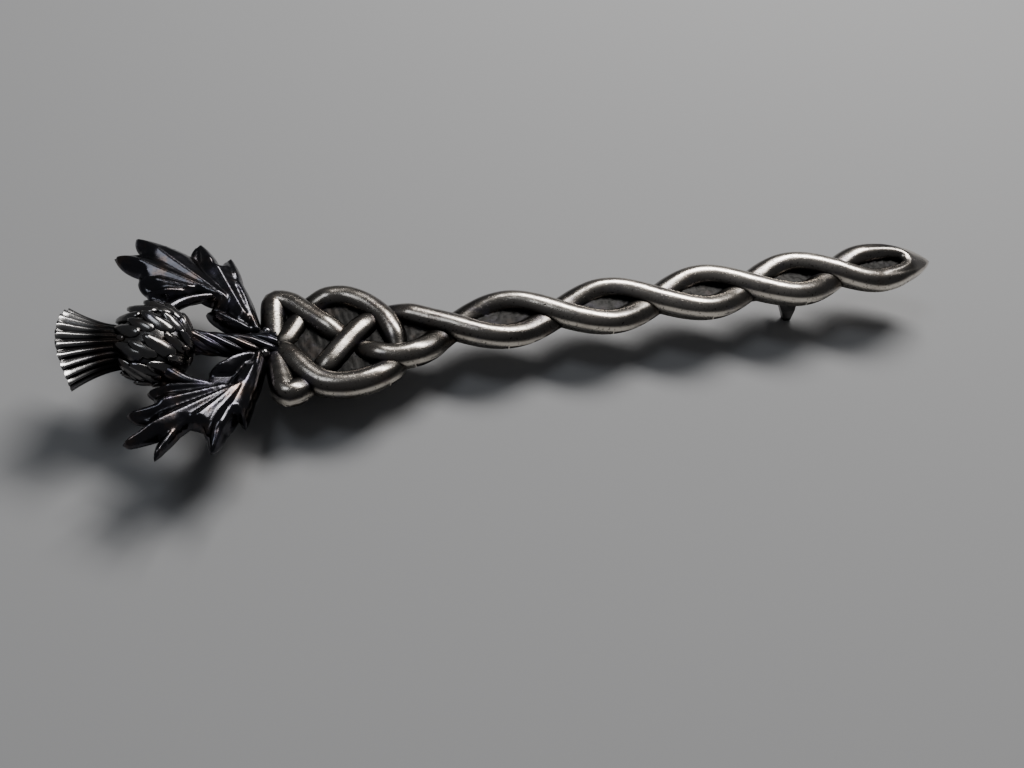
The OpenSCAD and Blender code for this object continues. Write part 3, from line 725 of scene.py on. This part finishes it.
def tuftTree():
    names = ["Length", "Neck width", "End width", "Neck height", "End height", "Lift", "Bulge", "Ribs",
             "Rib depth", "Flare", "Dish", "Fray", "Start X", "Middle Z"]
    bench, given = formTree("tuftForm", names)
    turns = tuft["ribs"] * tuft["perRib"] + 1

    def skin(rows, isDish):
        grid = bench.node("GeometryNodeMeshGrid", {}, {"Size X": 1.0, "Size Y": 1.0,
                                                       "Vertices X": rows, "Vertices Y": turns})
        gx, gy, _ = bench.split(bench.node("GeometryNodeInputPosition"))
        t = gx + 0.5
        angle = (gy + 0.5) * 2 * math.pi
        rib = (angle * given["Ribs"] / 2).sin().abs() ** tuft["ribRound"]
        ribIndex = (angle * given["Ribs"] / (2 * math.pi) + 0.0001).floor()
        chance = bench.node("ShaderNodeTexWhiteNoise", {"noise_dimensions": "1D"}, {"W": ribIndex}, 0)
        ring = t if isDish else 1
        u = 1 if isDish else t
        flared = 1 if isDish else t ** given["Flare"]
        rim = 1 - tuft["rimFade"] * t.ramp(tuft["rimStart"], 1)
        grown = (tuft["neckDepth"] + (1 - tuft["neckDepth"]) * t) * rim
        depth = given["Rib depth"] * (tuft["dishDepth"] * ring if isDish else grown)
        trim = 1 - depth * (1 - rib)
        fray = (chance - 0.5) * given["Fray"] * t ** 3
        bulge = given["Bulge"] * angle.cos() ** 2 * (t * t if isDish else 1)
        reach = (given["Length"] - bulge) * u + fray * rib
        if isDish:
            reach = reach - given["Dish"] * (1 - t ** 3)
        wide = (given["Neck width"] + (given["End width"] - given["Neck width"]) * flared) / 2
        tall = (given["Neck height"] + (given["End height"] - given["Neck height"]) * flared) / 2
        spot = bench.point(given["Start X"] - reach, wide * trim * angle.cos() * ring,
                           given["Middle Z"] + given["Lift"] * u + tall * trim * angle.sin() * ring)
        return bench.node("GeometryNodeSetPosition", {}, {"Geometry": grid, "Position": spot})

    join = bench.node("GeometryNodeJoinGeometry")
    for part in (skin(tuft["along"], False), skin(tuft["dishRings"], True)):
        bench.tree.links.new(part.socket, join.socket.node.inputs[0])
    whole = bench.node("GeometryNodeMergeByDistance", {}, {"Geometry": join, "Distance": 1e-6})
    closeTree(bench, whole, given["Material"])
    return bench


def thistleTuft():
    neckHeight = tuft["neckWidth"] * tuft["neckShare"]
    mesh = grow(emptySeed(), tuftTree(), tuftSilver, {
        "Length": pin["tuftLength"] * mm, "Neck width": tuft["neckWidth"] * mm,
        "End width": tuft["endWidth"] * mm, "Neck height": neckHeight * mm,
        "End height": tuft["endHeight"] * mm, "Lift": tuft["lift"] * mm,
        "Bulge": tuft["bulge"] * mm, "Ribs": tuft["ribs"], "Rib depth": tuft["ribDepth"],
        "Flare": tuft["flare"], "Dish": tuft["dish"] * mm, "Fray": tuft["fray"] * mm,
        "Start X": (tieX - pin["headLength"] + pin["tuftLength"]) * mm, "Middle Z": bulbZ * mm})
    piece("tuft", joined(mesh), tuftSilver)


thistleTuft()
print("tuft ribbed")

# Stem with slanting ridges, and the beads that bind it to the knot
stem = dict(width=1.85, reach=0.4, endShare=0.55, sag=0.4, ridges=7, ridgeDepth=0.24, ridgeRound=0.8,
            ridgeFloor=0.6, pitch=4.6, rings=90, turns=72, collar=0.35, collarShare=0.18)


def tubeFaces(rings, turns):  # a closed tube of rings, each with the same number of points
    faces = []
    for i in range(rings - 1):
        here, ahead = i * turns, (i + 1) * turns
        for j in range(turns):
            side = (j + 1) % turns
            faces.append((here + j, here + side, ahead + side, ahead + j))
    return faces + [tuple(range(turns)), tuple(range((rings - 1) * turns, rings * turns))]


def stemMesh():
    start = np.array([bulbX + bulb["length"] / 2 - bulb["overlap"], 0, bulbZ])
    endZ = float(backAt(tieX)) + pin["strandHeight"] * stem["endShare"]
    end = np.array([tieX + stem["reach"], 0, endZ])
    run = np.linalg.norm(end - start)
    points = []
    for t in np.linspace(0, 1, stem["rings"]):
        middle = start + (end - start) * t - np.array([0, 0, stem["sag"] * math.sin(math.pi * t)])
        for a in np.linspace(0, 2 * math.pi, stem["turns"], endpoint=False):
            phase = stem["ridges"] * a - 2 * math.pi * run * t / stem["pitch"] * stem["ridges"] / 2
            ridge = abs(math.cos(phase / 2)) ** stem["ridgeRound"] - stem["ridgeFloor"]
            r = stem["width"] / 2 + stem["ridgeDepth"] * ridge
            r += stem["collar"] * max(0, 1 - t / stem["collarShare"]) ** 2
            points.append((middle[0], r * math.cos(a), middle[2] + r * math.sin(a)))
    return joined(plainMesh(points, tubeFaces(stem["rings"], stem["turns"])))


piece("stem", stemMesh(), leafSilver)

# Each bead's place from the tie, and its size
beads = dict(height=0.9, sink=0.45, rings=14, turns=20,
             places=[(-0.8, -1.15, 1.0), (-0.55, -0.55, 1.0), (-0.3, 0.15, 1.35), (-0.75, 0.75, 1.05),
                     (-0.35, 1.2, 0.9), (0.15, -0.35, 0.9)])


def tieBeads():
    z = float(backAt(tieX)) + pin["strandHeight"] - beads["sink"]
    balls = [ball(size, size, size * beads["height"], (tieX + x, y, z), beads["rings"], beads["turns"])
             for x, y, size in beads["places"]]
    piece("tieBeads", joined(*balls), bulbSilver)


tieBeads()
print("stem and beads set")

# Branches that run from the bulb into the leaves
branch = dict(path=[(-34.0, 1.3, 5.9), (-33.0, 2.5, 6.0), (-32.0, 3.6, 5.95), (-31.0, 4.35, 5.8),
                    (-29.4, 4.9, 5.6), (-28.0, 5.2, 5.3)], widths=[0.9, 1.15, 1.05, 0.95, 0.7, 0.3],
              turns=20, cuts=8)


def branchMesh(side):
    rows = [(*p, w) for p, w in zip(branch["path"], branch["widths"])]
    path = smoothRows(rows, branch["cuts"])
    turns = branch["turns"]
    points = []
    for i, (x, y, z, w) in enumerate(path):
        ahead = path[min(i + 1, len(path) - 1)][:3] - path[max(i - 1, 0)][:3]
        ahead = Vector(ahead).normalized()
        across = ahead.cross(Vector((0, 0, 1))).normalized()
        up = across.cross(ahead)
        for a in np.linspace(0, 2 * math.pi, turns, endpoint=False):
            p = Vector((x, y, z)) + across * (w / 2 * math.cos(a)) + up * (w / 2 * math.sin(a))
            points.append((p.x, side * p.y, p.z))
    return plainMesh(points, tubeFaces(len(path), turns))


piece("branches", joined(branchMesh(1), branchMesh(-1)), leafSilver)
print("branches joined")

# Hinge block and catch, soldered to the back
fittings = dict(hingeAt=3.4, hingeLength=4.2, hingeWidth=5.0, catchAt=44.2, catchLength=2.6,
                catchLean=2.2, catchSheet=0.7, footIn=0.5, footLength=0.8, lipSteps=17,
                wireWidth=1.1, wireGap=0.1, wireHeight=2.35, wireDrop=1.1, bevel=0.12, bevelCuts=3)
hingeX = tieX + fittings["hingeAt"]
catchX = hingeX + fittings["catchAt"]
socket = fittings["wireWidth"] / 2 + fittings["wireGap"]


def prism(outline, low, high):  # outline in X and Y, raised from low to high
    n = len(outline)
    points = [(x, y, low) for x, y in outline] + [(x, y, high) for x, y in outline]
    faces = [tuple(range(n))[::-1], tuple(range(n, 2 * n))]
    faces += [(j, (j + 1) % n, n + (j + 1) % n, n + j) for j in range(n)]
    return plainMesh(points, faces, False)


def bevelled(name, mesh):
    soft = piece(name, mesh, shadedDullSilver).modifiers.new("bevel", "BEVEL")
    soft.width = fittings["bevel"] * mm
    soft.segments = fittings["bevelCuts"]
    soft.limit_method = "ANGLE"
    soft.harden_normals = True


def hingeBlock():
    x0 = hingeX - fittings["hingeLength"] / 2
    x1 = hingeX + fittings["hingeLength"] / 2
    w = fittings["hingeWidth"] / 2
    roof = fittings["wireHeight"] + socket
    top = float(backAt(hingeX)) + pin["floorHeight"] / 2
    horseshoe = [(x0, -w), (x1, -w), (x1, -socket), (hingeX, -socket), (hingeX, socket), (x1, socket),
                 (x1, w), (x0, w)]
    bevelled("hingeCheeks", joined(prism(horseshoe, 0, roof)))
    bevelled("hingePlate", joined(prism([(x0, -w), (x1, -w), (x1, w), (x0, w)], roof, top)))


def catchFin():
    out = socket + fittings["catchSheet"]
    top = float(backAt(catchX)) + pin["floorHeight"] / 2
    wire = float(backAt(catchX)) - fittings["wireDrop"]
    foot = fittings["footIn"]
    inner = -socket + foot * out / wire
    lip = [(socket * math.cos(a), wire + socket * math.sin(a))
           for a in np.linspace(0, -math.pi, fittings["lipSteps"])]
    side = [(-socket, top), (-out, top), (-out, wire - out), (-out + foot, 0), (-socket + foot, 0),
            (inner, wire - out), (out, wire - out), (out, wire)] + lip
    front, rear = [], []
    for y, z in side:
        share = 1 - z / top
        middle = catchX + fittings["catchLean"] * share
        taper = fittings["footLength"] - fittings["catchLength"]
        half = fittings["catchLength"] / 2 + taper / 2 * share
        front.append((middle + half, y, z))
        rear.append((middle - half, y, z))
    n = len(side)
    faces = [tuple(range(n)), tuple(range(n, 2 * n))[::-1]]
    faces += [(j, n + j, n + (j + 1) % n, (j + 1) % n) for j in range(n)]
    bevelled("catch", joined(plainMesh(front + rear, faces, False)))


hingeBlock()
catchFin()
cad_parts["pin_stem"].data.materials.clear()
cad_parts["pin_stem"].data.materials.append(wireSilver)
print("fittings made")

# Stage, camera and light
stage = dict(floorSize=900, floorTone=(0.275, 0.275, 0.28), floorRoughness=0.85,
             worldTone=(0.30, 0.31, 0.33), worldStrength=0.32)
# Place, size, power and tone
softboxes = dict(window=((120, 157, 242), (190, 90), 1.35, (1.0, 0.985, 0.96)),
                 sky=((-90, 60, 280), (90, 90), 0.12, (0.88, 0.94, 1.0)))
shot = dict(place=(-25.332, -50.242, 57.739), right=(0.95417, -0.27216, 0.12444),
            up=(0.12998, 0.75147, 0.64684), focus=863.16, imageWidth=1024, sensor=36.0,
            nearest=0.002, farthest=5)


def floorSheet():
    half = stage["floorSize"] / 2
    corners = [(-half, -half, 0), (half, -half, 0), (half, half, 0), (-half, half, 0)]
    mesh = plainMesh(corners, [(0, 1, 2, 3)])
    paper = bpy.data.materials.new("palePaper")
    paper.use_nodes = True
    shader = paper.node_tree.nodes["Principled BSDF"]
    shader.inputs["Base Color"].default_value = (*stage["floorTone"], 1)
    shader.inputs["Roughness"].default_value = stage["floorRoughness"]
    mesh.materials.append(paper)
    placed("floorSheet", mesh)


def camera():
    data = bpy.data.cameras.new("camera")
    data.sensor_width = shot["sensor"]
    data.lens = shot["focus"] / shot["imageWidth"] * shot["sensor"]
    data.clip_start, data.clip_end = shot["nearest"], shot["farthest"]
    made = placed("camera", data)
    right, up = Vector(shot["right"]).normalized(), Vector(shot["up"])
    up = (up - right * up.dot(right)).normalized()
    away = right.cross(up)
    turn = Matrix((right, up, away)).transposed().to_4x4()
    made.matrix_world = Matrix.Translation(Vector(shot["place"]) * mm) @ turn
    bpy.context.scene.camera = made


def softbox(name, place, size, power, tone):
    data = bpy.data.lights.new(name, "AREA")
    data.shape = "RECTANGLE"
    data.size, data.size_y = size[0] * mm, size[1] * mm
    data.energy = power
    data.color = tone
    made = placed(name, data)
    made.location = Vector(place) * mm
    made.rotation_mode = "QUATERNION"
    made.rotation_quaternion = (-Vector(place)).to_track_quat("-Z", "Y")


def lights():
    world = bpy.data.worlds.new("room")
    world.use_nodes = True
    glow = world.node_tree.nodes["Background"]
    glow.inputs["Color"].default_value = (*stage["worldTone"], 1)
    glow.inputs["Strength"].default_value = stage["worldStrength"]
    bpy.context.scene.world = world
    for name, values in softboxes.items():
        softbox(name, *values)


floorSheet()
camera()
lights()
print("stage set")
